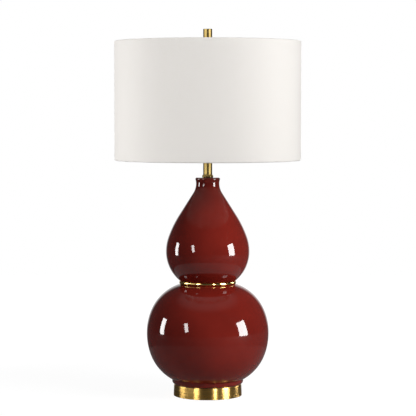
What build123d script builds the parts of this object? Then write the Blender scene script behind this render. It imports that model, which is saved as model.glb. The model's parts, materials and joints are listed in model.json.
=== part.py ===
from build123d import *
from math import acos, asin, cos, degrees, radians, sin
import os

# Double gourd table lamp. Millimetres, +Z up, origin at the centre of the face it stands on.
# The lamp faces -Y: the switch key points to the front and the cord leaves at the back.
# Outlines of turned pieces are drawn as (radius, height).

# Brass base, its weight and the felt under it
pad_thickness = 2.0
pad_proud = 0.5              # how far the felt stands below the brass rim
base_height = 26.7
base_foot_radius = 79.3
base_draft = 1.1             # the wall leans in by this much over its height
base_wall = 1.2
base_rounding = 1.5
weight_disc = 9.0            # thickness of the cast disc between hub and rim
weight_rim = 9.0             # width of the cast rim that carries the ceramic foot
weight_hub_radius = 20.0
weight_rounding = 2.5
pocket_radius = 14.0         # pocket under the hub for the rod's nut
pocket_depth = 12.0
channel_width = 12.0         # groove for the leads, from the pocket to the inlet

# Cord inlet at the back of the base
inlet_height = 8.6
inlet_bore = 3.5
inlet_barrel_radius = 4.95
inlet_flange_radius = 6.4
inlet_flange = 1.6
inlet_lip = 0.35             # how far the snap lip stands out behind the wall
inlet_depth = 8.3            # barrel behind the flange

# Hollow rod that clamps the stack, and what is on its lower end
rod_radius = 5.0
rod_bore = 3.25
rod_tail = 1.0               # rod below the nut
nut_flats = 14.0
nut_height = 5.0
lock_washer_radius = 9.0
lock_washer_height = 1.5
lock_washer_slit = 1.2
washer_radius = 12.5
washer_height = 1.5

# Ceramic foot and lower bulb
foot_gasket_height = 1.2
foot_gasket_width = 9.0
foot_gasket_inset = 0.6      # gasket edge behind the flat of the foot
foot_radius = 82.4
foot_rounding = 6.1
foot_recess_radius = 62.0
foot_recess_depth = 2.0
lower_wall = 6.0
lower_floor = 7.0
lower_belly_radius = 141.7
lower_belly_rise = 120.3     # belly above the foot's flat
lower_skirt_arc = 153.7      # arc just below the belly
lower_skirt_turn = 18.6
lower_tuck_arc = 109.0       # arc from there down to the foot
lower_shoulder_arc = 128.6   # arc just above the belly
lower_shoulder_turn = 25.3
lower_crown_arc = 106.9      # arc from there up to the ring
lower_crown_rise = 111.4     # ring seat above the belly
lower_mouth_radius = 54.0

# Brass ring at the waist
ring_height = 8.1
ring_proud = 2.1             # ring stands out from the edge of the lower bulb's seat
ring_bore = 49.0
spigot_height = 3.0

# Upper bulb, neck and lip
upper_wall = 5.0
upper_belly_radius = 96.85
upper_belly_rise = 67.4      # belly above the ring
upper_under_arc = 88.4       # arc from the belly down to the ring
upper_over_arc = 101.7       # arc just above the belly
upper_over_turn = 19.8
shoulder_arc = 249.7
shoulder_turn = 12.8
cone_length = 60.8
throat_arc = 41.4
flare_arc = 25.0
flare_turn = 20.0
lip_rounding = 3.6
neck_top_wall = 6.0

# Brass collar, neck tube and check ring
neck_gasket_height = 0.8
neck_gasket_inset = 0.9
collar_radius = 12.9
collar_height = 5.7
collar_taper = 1.1
collar_seat_depth = 2.5
tube_radius = 10.5
tube_wall = 1.0
tube_length = 46.7
check_ring_radius = 12.5
check_ring_height = 5.0
check_ring_seat_depth = 2.0
brass_rounding = 0.6

# Harp saddle, harp and its locking sleeves
saddle_thickness = 1.6
saddle_disc_radius = 10.0
saddle_strip_width = 3.0
saddle_span = 62.0           # distance between the two upright tips
saddle_tip_height = 9.0
saddle_bend = 2.0
harp_wire = 1.8              # radius of the wire
harp_height = 241.3          # top of the saddle to the top of the eye
harp_width = 108.0
harp_leg = 45.0              # where the straight leg would meet the bow
harp_bow_start = 82.0
harp_bow_end = 150.0
harp_top_half = 15.0
harp_leg_bend = 40.0
harp_side_bend = 80.0
harp_top_bend = 14.0
eye_radius = 8.0
eye_height = 3.4
sleeve_wall = 1.4
sleeve_length = 15.0
sleeve_lift = 0.6            # sleeve above the bend of the saddle

# Swivel stud in the harp's eye, and the finial on it
stud_radius = 3.15
stud_head_radius = 5.0
stud_head_height = 1.2
stud_flange_radius = 6.5
stud_flange_height = 1.6
stud_reach = 13.0            # thread inside the finial
finial_radius = 10.4
finial_height = 42.2
finial_rounding = 0.7
finial_bore_spare = 1.5

# Bulb socket and switch
socket_neck_radius = 8.0
socket_neck_height = 7.0
socket_cap_height = 21.0
socket_cap_rise = 11.0       # height of the dome between neck and rim
socket_metal = 0.7
socket_radius = 17.3
socket_shell_length = 45.0
socket_overlap = 5.0         # shell inside the cap
socket_bead = 0.9
liner_thickness = 0.8
switch_body_height = 21.0
switch_hole_radius = 4.5
switch_height = 10.5         # shaft above the bottom of the switch body
shaft_radius = 2.0
shaft_depth = 9.0            # shaft inside the switch body
knob_radius = 6.0
knob_length = 12.0
knob_standoff = 5.0          # knob in front of the shell
knob_bore_depth = 8.0
knob_flutes = 12
knob_flute_radius = 0.9
screw_shell_metal = 0.5
screw_shell_height = 17.0
tongue_height = 2.4
tongue_metal = 0.5
tongue_radius = 4.0

# Light bulb
bulb_length = 108.0
bulb_cap_radius = 13.0
bulb_cap_height = 21.0
bulb_cap_metal = 0.4
bulb_contact_radius = 4.6
bulb_contact_height = 0.8
bulb_insulator_height = 3.4
glass_radius = 30.0
glass_wall = 1.0
glass_taper = 28.0
glass_blend = 15.0
glass_in_cap = 4.0

# Drum shade
shade_radius = 215.1
shade_height = 274.7
fabric = 0.7
styrene = 0.45
shade_wire = 1.5             # radius of the ring wires
hem_wrap = 200.0             # degrees that the hem goes round its wire
hem_tail = 8.0
spider_drop = 12.65          # hub below the top wire
spider_wire = 1.5
spider_arms = 3
spider_rise_length = 16.0    # plan length of the slope near the wire
spider_end_length = 8.0
spider_bend = 8.0
hub_radius = 11.0
hub_height = 1.6

# Clearances
running_fit = 0.07           # radial, between a pin and its hole
loose_fit = 0.3              # round the rod and the set-in pieces
glue_line = 0.05             # between bonded sheets
hem_fit = 0.5                # round the ring wires
swivel_gap = 0.15            # above and below the harp's eye
ceramic_hole_spare = 1.5     # round the rod in the ceramic

# Heights of the stack, from the table up
rim_level = pad_proud
base_top_radius = base_foot_radius - base_draft
plate_level = base_height - base_wall
pocket_level = pad_thickness + pocket_depth
foot_level = base_height + foot_gasket_height
lower_belly_level = foot_level + lower_belly_rise
ring_level = lower_belly_level + lower_crown_rise
upper_level = ring_level + ring_height
upper_belly_level = upper_level + upper_belly_rise


# ---- drawing helpers ----

def turned(*edges):
    """Turn a closed (radius, height) outline round Z."""
    return revolve(Plane.XZ * make_face(edges), Axis.Z)


def washer(inner, outer, bottom, top):
    """Plain ring or tube."""
    corners = [(inner, bottom), (outer, bottom), (outer, top), (inner, top)]
    return turned(Polyline(*corners, close=True))


def turned_corners(corners, rounding):
    """Turn a closed outline of corners; rounding gives the radius at each corner."""
    return turned(FilletPolyline(*corners, radius=rounding, close=True))


def wire(path, radius):
    """Round wire along a path."""
    return sweep(Plane(path @ 0, z_dir=path % 0) * Circle(radius), path=path)


def half_bulb(belly, first_arc, turn, second_arc):
    """Centres and radii of the two tangent arcs that leave the belly; turn is negative below it."""
    first_centre = Vector(belly[0] - first_arc, belly[1])
    along = Vector(cos(radians(turn)), sin(radians(turn)))
    second_centre = first_centre + along * (first_arc - second_arc)
    return first_centre, first_arc, turn, second_centre, second_arc


def angle_at_height(half, height, inset):
    """Angle on the outer arc at a height, on a line drawn inset from the outline."""
    return degrees(asin((height - half[3].Y) / (half[4] - inset)))


def half_bulb_edges(half, stop, inset):
    """Both arcs from the belly to the stop angle, drawn inset from the outline."""
    first_centre, first_arc, turn, second_centre, second_arc = half
    first = CenterArc(first_centre, first_arc - inset, 0, turn)
    second = CenterArc(second_centre, second_arc - inset, turn, stop - turn)
    return first, second


# ---- base ----

def felt_pad():
    radius = base_foot_radius - base_wall - loose_fit
    return extrude(Circle(radius), pad_thickness)


def base_cup():
    corners = [(rod_radius + loose_fit, base_height), (rod_radius + loose_fit, plate_level),
               (base_top_radius - base_wall, plate_level),
               (base_foot_radius - base_wall, rim_level), (base_foot_radius, rim_level),
               (base_top_radius, base_height)]
    rounding = [0, 0, base_rounding, 0, base_wall / 2, base_rounding + base_wall / 2]
    hole = Pos(0, base_foot_radius, inlet_height) * Rot(90, 0, 0) * Cylinder(
        inlet_barrel_radius + running_fit, 8 * base_wall)
    return turned_corners(corners, rounding) - hole


def base_weight():
    """Casting with a hub for the rod and a rim under the ceramic foot."""
    outer = base_top_radius - base_wall - 2 * loose_fit
    disc_top = pad_thickness + weight_disc
    bore = rod_radius + loose_fit
    corners = [(bore, pocket_level), (pocket_radius, pocket_level), (pocket_radius, pad_thickness),
               (outer, pad_thickness), (outer, plate_level), (outer - weight_rim, plate_level),
               (outer - weight_rim, disc_top), (weight_hub_radius, disc_top),
               (weight_hub_radius, plate_level), (bore, plate_level)]
    rounding = [0, 0, 0, 0, base_rounding, 0, weight_rounding, weight_rounding, 0, 0]
    groove = Pos(0, 0, pad_thickness) * Box(
        channel_width, outer + loose_fit, pocket_depth, align=(Align.CENTER, Align.MIN, Align.MIN))
    return turned_corners(corners, rounding) - groove


def cord_bushing():
    """Snap-in bushing, drawn as (radius, distance from the centre of the lamp)."""
    face = base_foot_radius
    lip_start = face - base_wall - 3 * loose_fit
    lip_radius = inlet_barrel_radius + inlet_lip
    end = face - inlet_depth
    corners = [(inlet_bore, end), (inlet_barrel_radius, end),
               (inlet_barrel_radius, lip_start - 4 * inlet_lip), (lip_radius, lip_start - inlet_lip),
               (lip_radius, lip_start), (inlet_barrel_radius, lip_start), (inlet_barrel_radius, face),
               (inlet_flange_radius, face), (inlet_flange_radius, face + inlet_flange),
               (inlet_bore, face + inlet_flange)]
    upright = turned_corners(corners, [0] * 8 + [inlet_flange / 2, 0])
    return Pos(0, 0, inlet_height) * Rot(-90, 0, 0) * upright


# ---- rod and its clamp ----

washer_level = pocket_level - washer_height
lock_washer_level = washer_level - lock_washer_height
nut_level = lock_washer_level - nut_height
rod_level = nut_level - rod_tail


def rod_nut():
    blank = extrude(RegularPolygon(nut_flats / 2, 6, major_radius=False), nut_height)
    return Pos(0, 0, nut_level) * (blank - Cylinder(rod_radius + glue_line, 3 * nut_height))


def rod_lock_washer():
    """Split spring washer."""
    ring = washer(rod_radius + loose_fit, lock_washer_radius, lock_washer_level, washer_level)
    slit = Pos(lock_washer_radius, 0, lock_washer_level) * Rot(0, 0, 20) * Box(
        2 * lock_washer_radius, lock_washer_slit, 4 * lock_washer_height)
    return ring - slit


def rod_washer():
    return washer(rod_radius + loose_fit, washer_radius, washer_level, pocket_level)


# ---- ceramic body ----

lower_belly = (lower_belly_radius, lower_belly_level)
lower_under = half_bulb(lower_belly, lower_skirt_arc, -lower_skirt_turn, lower_tuck_arc)
lower_over = half_bulb(lower_belly, lower_shoulder_arc, lower_shoulder_turn, lower_crown_arc)


def foot_gasket():
    outer = foot_radius - foot_rounding - foot_gasket_inset
    return washer(outer - foot_gasket_width, outer, base_height, foot_level)


def lower_bulb():
    """Shell with a flat foot, a floor with a hole for the rod, and an open mouth under the ring."""
    hole = rod_radius + ceramic_hole_spare
    floor_level = foot_level + foot_recess_depth + lower_floor
    flat_edge = foot_radius - foot_rounding
    tuck_stop = -degrees(acos((foot_radius - lower_under[3].X) / lower_tuck_arc))
    skirt, tuck = half_bulb_edges(lower_under, tuck_stop, 0)
    shoulder, crown = half_bulb_edges(lower_over, angle_at_height(lower_over, ring_level, 0), 0)
    mouth_stop = degrees(acos((lower_mouth_radius - lower_over[3].X) / (lower_crown_arc - lower_wall)))
    in_shoulder, in_crown = half_bulb_edges(lower_over, mouth_stop, lower_wall)
    floor_stop = angle_at_height(lower_under, floor_level, lower_wall)
    in_skirt, in_tuck = half_bulb_edges(lower_under, floor_stop, lower_wall)
    foot = [
        Polyline((hole, floor_level), (hole, foot_level + foot_recess_depth),
                 (foot_recess_radius, foot_level + foot_recess_depth),
                 (foot_recess_radius + foot_recess_depth, foot_level), (flat_edge, foot_level)),
        CenterArc((flat_edge, foot_level + foot_rounding), foot_rounding, -90, 90),
        Line((foot_radius, foot_level + foot_rounding), tuck @ 1)]
    mouth = Polyline(crown @ 1, (lower_mouth_radius, ring_level), in_crown @ 1)
    floor = Line(in_tuck @ 1, (hole, floor_level))
    return turned(*foot, tuck, skirt, shoulder, crown, mouth, in_crown, in_shoulder, in_skirt,
                  in_tuck, floor)


lower_mouth_edge = half_bulb_edges(lower_over, angle_at_height(lower_over, ring_level, 0), 0)[1] @ 1
upper_under = half_bulb((upper_belly_radius, upper_belly_level), upper_under_arc, -upper_over_turn,
                        upper_under_arc)
upper_mouth_stop = angle_at_height(upper_under, upper_level, upper_wall)
upper_mouth_radius = (half_bulb_edges(upper_under, upper_mouth_stop, upper_wall)[1] @ 1).X


def waist_ring():
    """Half-round brass ring with a spigot into each bulb's mouth."""
    bead = ring_height / 2
    bead_centre = lower_mouth_edge.X + ring_proud - bead
    lower_spigot = lower_mouth_radius - loose_fit
    upper_spigot = upper_mouth_radius - loose_fit
    inner = Polyline(
        (bead_centre, upper_level), (upper_spigot, upper_level),
        (upper_spigot, upper_level + spigot_height), (ring_bore, upper_level + spigot_height),
        (ring_bore, ring_level - spigot_height), (lower_spigot, ring_level - spigot_height),
        (lower_spigot, ring_level), (bead_centre, ring_level))
    return turned(inner, CenterArc((bead_centre, ring_level + bead), bead, -90, 180))


def upper_side(inset):
    """Upper bulb from its belly to the narrowest place of its neck."""
    over = JernArc((upper_belly_radius - inset, upper_belly_level), (0, 1),
                   upper_over_arc - inset, upper_over_turn)
    shoulder = JernArc(over @ 1, over % 1, shoulder_arc - inset, shoulder_turn)
    cone = Line(shoulder @ 1, shoulder @ 1 + shoulder % 1 * cone_length)
    throat = JernArc(cone @ 1, cone % 1, throat_arc + inset, -(upper_over_turn + shoulder_turn))
    return over, shoulder, cone, throat


neck_narrows = upper_side(0)[3] @ 1
lip_flare = JernArc(neck_narrows, (0, 1), flare_arc, -flare_turn)
lip_roll = JernArc(lip_flare @ 1, lip_flare % 1, lip_rounding, 90 + flare_turn)
lip_level = (lip_roll @ 1).Y


def upper_bulb():
    """Shell with an open mouth on the ring, and a closed top with a hole for the rod."""
    hole = rod_radius + ceramic_hole_spare
    under = half_bulb_edges(upper_under, angle_at_height(upper_under, upper_level, 0), 0)
    in_under = half_bulb_edges(upper_under, upper_mouth_stop, upper_wall)
    in_side = upper_side(upper_wall)
    mouth = Line(in_under[1] @ 1, under[1] @ 1)
    in_neck = in_side[3] @ 1
    top = Polyline(lip_roll @ 1, (hole, lip_level), (hole, lip_level - neck_top_wall),
                   (in_neck.X, lip_level - neck_top_wall), in_neck)
    return turned(*under, *upper_side(0), lip_flare, lip_roll, top, *in_side, *in_under, mouth)


# ---- neck ----

collar_level = lip_level + neck_gasket_height
tube_level = collar_level + collar_height - collar_seat_depth
check_ring_level = tube_level + tube_length - check_ring_seat_depth
saddle_level = check_ring_level + check_ring_height
saddle_top = saddle_level + saddle_thickness


def neck_gasket():
    return washer(rod_radius + loose_fit, collar_radius - neck_gasket_inset, lip_level, collar_level)


def neck_collar():
    bore = rod_radius + loose_fit
    seat = tube_radius + glue_line
    top = collar_level + collar_height
    corners = [(bore, collar_level), (collar_radius, collar_level),
               (collar_radius, collar_level + collar_height / 2), (collar_radius - collar_taper, top),
               (seat, top), (seat, tube_level), (bore, tube_level)]
    return turned_corners(corners, [0, brass_rounding, brass_rounding, brass_rounding, 0, 0, 0])


def neck_tube():
    return washer(tube_radius - tube_wall, tube_radius, tube_level, tube_level + tube_length)


def check_ring():
    """Ring that caps the neck tube."""
    bore = rod_radius + loose_fit
    seat = tube_radius + glue_line
    tube_top = tube_level + tube_length
    corners = [(bore, tube_top), (seat, tube_top), (seat, check_ring_level),
               (check_ring_radius, check_ring_level), (check_ring_radius, saddle_level),
               (bore, saddle_level)]
    return turned_corners(corners, [0, 0, 0, brass_rounding, 2 * brass_rounding, 0])


def lamp_rod():
    return washer(rod_bore, rod_radius, rod_level, saddle_top + socket_neck_height)


# ---- harp ----

eye_top = saddle_top + harp_height
eye_level = eye_top - eye_height
wire_top = eye_top - eye_height / 2
tip_level = saddle_top + saddle_tip_height
sleeve_radius = harp_wire + running_fit
sleeve_level = saddle_top + saddle_bend + sleeve_lift


def harp_saddle():
    """Stamped strip: a disc on the rod, and two arms bent up to meet the harp."""
    side = saddle_span / 2 + saddle_thickness / 2
    inside = side - saddle_thickness
    outer_bend = saddle_bend + saddle_thickness
    corners = [(-side, tip_level), (-side, saddle_level), (side, saddle_level), (side, tip_level),
               (inside, tip_level), (inside, saddle_top), (-inside, saddle_top), (-inside, tip_level)]
    bends = [0, outer_bend, outer_bend, 0, 0, saddle_bend, saddle_bend, 0]
    strip = Plane.XZ * make_face(FilletPolyline(*corners, radius=bends, close=True))
    plan = Circle(saddle_disc_radius) + Rectangle(2 * side, saddle_strip_width)
    tall = 2 * saddle_tip_height
    blank = Pos(0, 0, saddle_level) * extrude(plan, tall)
    bent = extrude(strip, saddle_disc_radius, both=True)
    return (blank & bent) - Pos(0, 0, saddle_level) * Cylinder(rod_radius + loose_fit, tall)


def harp():
    """Wire loop round the bulb, flattened into an eye at the top."""
    leg = saddle_span / 2
    side = harp_width / 2
    right = [(leg, tip_level), (leg, saddle_top + harp_leg), (side, saddle_top + harp_bow_start),
             (side, saddle_top + harp_bow_end), (harp_top_half, wire_top)]
    left = [(-x, z) for x, z in reversed(right)]
    bends = [harp_leg_bend, harp_side_bend, harp_side_bend, harp_top_bend]
    path = Plane.XZ * FilletPolyline(*right, *left, radius=bends + bends[::-1])
    eye = Pos(0, 0, eye_level) * extrude(Circle(eye_radius), eye_height)
    loop = wire(path, harp_wire) - Pos(0, 0, eye_top) * extrude(Circle(eye_radius), harp_wire)
    return loop + eye - Pos(0, 0, eye_top) * Cylinder(stud_radius + running_fit, 4 * eye_height)


def harp_sleeve(side):
    """Locking sleeve round the joint of harp and saddle; side is -1 or 1."""
    outer = sleeve_radius + sleeve_wall
    top = sleeve_level + sleeve_length
    corners = [(sleeve_radius, sleeve_level), (outer, sleeve_level), (outer, top), (sleeve_radius, top)]
    sleeve = turned_corners(corners, [0, brass_rounding, brass_rounding, 0])
    return Pos(side * saddle_span / 2, 0, 0) * sleeve


flange_level = eye_top + swivel_gap
hub_level = flange_level + stud_flange_height
finial_level = hub_level + hub_height


def harp_stud():
    """Swivel stud: riveted head under the eye, flange above it, thread for the finial."""
    head_top = eye_level - swivel_gap
    head = head_top - stud_head_height
    corners = [(0, head), (stud_head_radius, head), (stud_head_radius, head_top),
               (stud_radius, head_top), (stud_radius, flange_level),
               (stud_flange_radius, flange_level), (stud_flange_radius, hub_level),
               (stud_radius, hub_level), (stud_radius, finial_level + stud_reach),
               (0, finial_level + stud_reach)]
    rounding = [0, stud_head_height / 2, 0, 0, 0, 0, brass_rounding, 0, brass_rounding, 0]
    return turned_corners(corners, rounding)


def finial():
    bore = stud_radius + running_fit
    depth = finial_level + stud_reach + finial_bore_spare
    top = finial_level + finial_height
    corners = [(bore, finial_level), (finial_radius, finial_level), (finial_radius, top), (0, top),
               (0, depth), (bore, depth)]
    return turned_corners(corners, [0, finial_rounding, finial_rounding, 0, 0, 0])


# ---- socket and switch ----

socket_rim_level = saddle_top + socket_cap_height
shell_level = socket_rim_level - socket_overlap
shell_radius = socket_radius - socket_metal - glue_line
shell_top = shell_level + socket_shell_length
liner_radius = shell_radius - socket_metal - glue_line
body_radius = liner_radius - liner_thickness - glue_line
body_level = shell_level + socket_metal
body_top = body_level + switch_body_height
shaft_level = body_level + switch_height
screw_bore = bulb_cap_radius + running_fit


def socket_cap():
    """Spun cap with a threaded neck, drawn as a dome between neck and rim."""
    neck_top = saddle_top + socket_neck_height
    bore = rod_radius + glue_line
    dome_top = saddle_top + socket_cap_rise
    corners = [(bore, saddle_top), (socket_neck_radius, saddle_top),
               (socket_neck_radius, neck_top - socket_metal), (socket_radius, dome_top),
               (socket_radius, socket_rim_level), (socket_radius - socket_metal, socket_rim_level),
               (socket_radius - socket_metal, dome_top + socket_metal),
               (socket_neck_radius, neck_top + socket_metal), (bore, neck_top + socket_metal)]
    rounding = [0, 0, 2 * socket_metal, 4 * socket_metal, 0, 0, 3 * socket_metal, 0, 0]
    return turned_corners(corners, rounding)


def switch_hole(radius):
    """Hole from the front into a socket piece."""
    return Pos(0, -socket_radius, shaft_level) * Rot(90, 0, 0) * Cylinder(radius, socket_radius)


def socket_shell():
    """Metal shell with a rolled bead at its mouth and a hole for the switch shaft."""
    inner = shell_radius - socket_metal
    bead_level = shell_top - socket_bead
    corners = [(inner, shell_level), (shell_radius, shell_level),
               (shell_radius, bead_level - socket_bead), (shell_radius + socket_bead, bead_level),
               (shell_radius, shell_top), (inner, shell_top)]
    rounding = [0, 0, 0, 0.8 * socket_bead, 0, 0]
    return turned_corners(corners, rounding) - switch_hole(switch_hole_radius)


def socket_liner():
    tube = washer(liner_radius - liner_thickness, liner_radius, body_level, shell_top - socket_bead)
    return tube - switch_hole(switch_hole_radius)


def socket_body():
    """Moulded switch body with a bore for the shaft."""
    corners = [(0, body_level), (body_radius, body_level), (body_radius, body_top), (0, body_top)]
    block = turned_corners(corners, [0, brass_rounding, brass_rounding, 0])
    bore_start = -body_radius + shaft_depth / 2
    bore = Pos(0, bore_start, shaft_level) * Rot(90, 0, 0) * Cylinder(
        shaft_radius + running_fit, shaft_depth + 2 * loose_fit)
    return block - bore


def socket_screw_shell():
    """Thin shell that the bulb's cap goes into, open at the bottom round the contact."""
    top = body_top + screw_shell_height
    outer = screw_bore + screw_shell_metal
    lip = tongue_radius + 3 * screw_shell_metal
    corners = [(lip, body_top), (outer, body_top), (outer, top), (screw_bore, top),
               (screw_bore, body_top + screw_shell_metal), (lip, body_top + screw_shell_metal)]
    return turned_corners(corners, [0, screw_shell_metal, 0, 0, 0, 0])


def socket_contact():
    """Sprung tongue: a flat leaf on the body, folded up and back over under the bulb."""
    reach = tongue_radius - tongue_metal
    bend = tongue_height / 2 - tongue_metal / 2
    fold = -reach - 2 * bend
    leaf = FilletPolyline((reach, 0), (fold, 0), (fold, 2 * bend), (reach / 2, 2 * bend), radius=0.99 * bend)
    strip = Plane.XZ * make_face(offset(leaf, tongue_metal / 2, kind=Kind.TANGENT).edges())
    return Pos(bend, 0, body_top + tongue_metal / 2) * extrude(strip, tongue_radius / 2, both=True)


def switch_shaft():
    start = body_radius - shaft_depth
    length = shell_radius + knob_standoff + knob_bore_depth - start
    shaft = Cylinder(shaft_radius, length, align=(Align.CENTER, Align.CENTER, Align.MIN))
    return Pos(0, -start, shaft_level) * Rot(90, 0, 0) * shaft


def switch_knob():
    """Fluted key on the shaft."""
    corners = [(0, 0), (knob_radius, 0), (knob_radius, knob_length), (0, knob_length)]
    blank = turned_corners(corners, [0, brass_rounding, 2 * brass_rounding, 0])
    blank -= Cylinder(shaft_radius + glue_line, 2 * knob_bore_depth)
    flute = Pos(knob_radius, 0, 0) * Cylinder(knob_flute_radius, 3 * knob_length)
    blank -= [Rot(0, 0, i * 360 / knob_flutes) * flute for i in range(knob_flutes)]
    return Pos(0, -shell_radius - knob_standoff, shaft_level) * Rot(90, 0, 0) * blank


# ---- light bulb ----

bulb_level = body_top + tongue_height + loose_fit / 2
insulator_level = bulb_level + bulb_contact_height
cap_level = insulator_level + bulb_insulator_height
cap_top = cap_level + bulb_cap_height
bulb_top = bulb_level + bulb_length
glass_neck_radius = bulb_cap_radius - bulb_cap_metal - glue_line


def bulb_contact():
    corners = [(0, bulb_level), (bulb_contact_radius, insulator_level), (0, insulator_level)]
    return turned_corners(corners, [0, 0, 0])


def bulb_insulator():
    wide = bulb_cap_radius - bulb_cap_metal
    narrow = bulb_cap_radius - bulb_insulator_height
    corners = [(0, insulator_level), (bulb_contact_radius, insulator_level), (narrow, insulator_level),
               (wide, cap_level), (0, cap_level)]
    return turned_corners(corners, [0, 0, bulb_contact_height, 0, 0])


def bulb_cap():
    return washer(bulb_cap_radius - bulb_cap_metal, bulb_cap_radius, cap_level, cap_top)


def glass_side(inset):
    """Bulb from its top to its neck."""
    globe = JernArc((0, bulb_top - inset), (1, 0), glass_radius - inset, -(90 + glass_taper))
    blend = glass_blend + inset
    fall = (globe @ 1).X - (glass_neck_radius - inset) - blend * (1 - cos(radians(glass_taper)))
    cone = Line(globe @ 1, globe @ 1 + globe % 1 * (fall / sin(radians(glass_taper))))
    neck = JernArc(cone @ 1, cone % 1, blend, glass_taper)
    end = Line(neck @ 1, (glass_neck_radius - inset, cap_top - glass_in_cap))
    return globe, cone, neck, end


def bulb_glass():
    outside = glass_side(0)
    inside = glass_side(glass_wall)
    crown = Line((0, bulb_top), (0, bulb_top - glass_wall))
    rim = Line(outside[3] @ 1, inside[3] @ 1)
    return turned(*outside, rim, *inside, crown)


# ---- drum shade ----

wire_inset = fabric + hem_fit + shade_wire
shade_wire_radius = shade_radius - wire_inset
top_wire_level = hub_level + hub_height / 2 + spider_drop
shade_top = top_wire_level + wire_inset
shade_bottom = shade_top - shade_height
bottom_wire_level = shade_bottom + wire_inset


def hem(level, up, radius, tail):
    """Edge of the cover round a ring wire; up is 1 at the top hem and -1 at the bottom one."""
    roll = CenterArc((shade_wire_radius, level), radius, 0, up * hem_wrap)
    return roll, Line(roll @ 1, roll @ 1 + roll % 1 * tail)


def arm_angles():
    return [90 + i * 360 / spider_arms for i in range(spider_arms)]


def shade_cover():
    """Fabric wall, rolled over the ring wire at each end and notched where an arm passes."""
    edges = []
    for level, up in ((top_wire_level, 1), (bottom_wire_level, -1)):
        outside = hem(level, up, wire_inset, hem_tail)
        inside = hem(level, up, wire_inset - fabric, hem_tail)
        edges += [*outside, *inside, Line(outside[1] @ 1, inside[1] @ 1)]
    for radius in (shade_radius, shade_radius - fabric):
        edges.append(Line((radius, bottom_wire_level), (radius, top_wire_level)))
    notch = Pos(shade_wire_radius - wire_inset, 0, top_wire_level) * Rot(0, 90, 0) * Cylinder(
        spider_wire + loose_fit, 2 * wire_inset)
    return turned(*edges) - [Rot(0, 0, angle) * notch for angle in arm_angles()]


def shade_liner():
    outer = shade_radius - fabric - glue_line
    bottom = bottom_wire_level + shade_wire + loose_fit
    top = top_wire_level - shade_wire - loose_fit
    return washer(outer - styrene, outer, bottom, top)


def shade_ring(level):
    return turned(CenterArc((shade_wire_radius, level), shade_wire, 0, 360))


def spider():
    """Hub washer on the harp and arms that rise to the top wire."""
    end = shade_wire_radius - shade_wire - glue_line
    hub_middle = hub_level + hub_height / 2
    slope_end = end - spider_end_length
    route = [(hub_radius / 2 + stud_radius, hub_middle), (slope_end - spider_rise_length, hub_middle),
             (slope_end, top_wire_level), (end, top_wire_level)]
    arm = wire(Plane.XZ * FilletPolyline(*route, radius=spider_bend), spider_wire)
    hub_top = hub_level + hub_height
    hub = Pos(0, 0, hub_level) * extrude(Circle(hub_radius), hub_height)
    arm -= Pos(0, 0, hub_top) * extrude(Circle(finial_radius + loose_fit), spider_wire)
    arm -= Pos(0, 0, hub_level) * extrude(Circle(stud_flange_radius + loose_fit), -spider_wire)
    hub += [Rot(0, 0, angle) * arm for angle in arm_angles()]
    return hub - Pos(0, 0, hub_level) * Cylinder(stud_radius + running_fit, 8 * hub_height)


pieces = {
    "felt_pad": felt_pad(),
    "base_cup": base_cup(),
    "base_weight": base_weight(),
    "cord_bushing": cord_bushing(),
    "rod_nut": rod_nut(),
    "rod_lock_washer": rod_lock_washer(),
    "rod_washer": rod_washer(),
    "lamp_rod": lamp_rod(),
    "foot_gasket": foot_gasket(),
    "lower_bulb": lower_bulb(),
    "waist_ring": waist_ring(),
    "upper_bulb": upper_bulb(),
    "neck_gasket": neck_gasket(),
    "neck_collar": neck_collar(),
    "neck_tube": neck_tube(),
    "check_ring": check_ring(),
    "harp_saddle": harp_saddle(),
    "harp": harp(),
    "harp_sleeve_left": harp_sleeve(-1),
    "harp_sleeve_right": harp_sleeve(1),
    "harp_stud": harp_stud(),
    "finial": finial(),
    "socket_cap": socket_cap(),
    "socket_shell": socket_shell(),
    "socket_liner": socket_liner(),
    "socket_body": socket_body(),
    "socket_screw_shell": socket_screw_shell(),
    "socket_contact": socket_contact(),
    "switch_shaft": switch_shaft(),
    "switch_knob": switch_knob(),
    "bulb_contact": bulb_contact(),
    "bulb_insulator": bulb_insulator(),
    "bulb_cap": bulb_cap(),
    "bulb_glass": bulb_glass(),
    "shade_cover": shade_cover(),
    "shade_liner": shade_liner(),
    "shade_top_ring": shade_ring(top_wire_level),
    "shade_bottom_ring": shade_ring(bottom_wire_level),
    "spider": spider(),
}

os.makedirs("parts", exist_ok=True)
for name, shape in pieces.items():
    export_step(shape, f"parts/{name}.step")

print(f"lip {lip_level:.1f}, saddle {saddle_top:.1f}, bulb top {bulb_top:.1f}, eye {eye_top:.1f}")
print(f"shade {shade_bottom:.1f} to {shade_top:.1f}, finial top {finial_level + finial_height:.1f}")
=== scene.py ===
import json
import math

import bmesh
import bpy
from mathutils import Matrix, Vector


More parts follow.
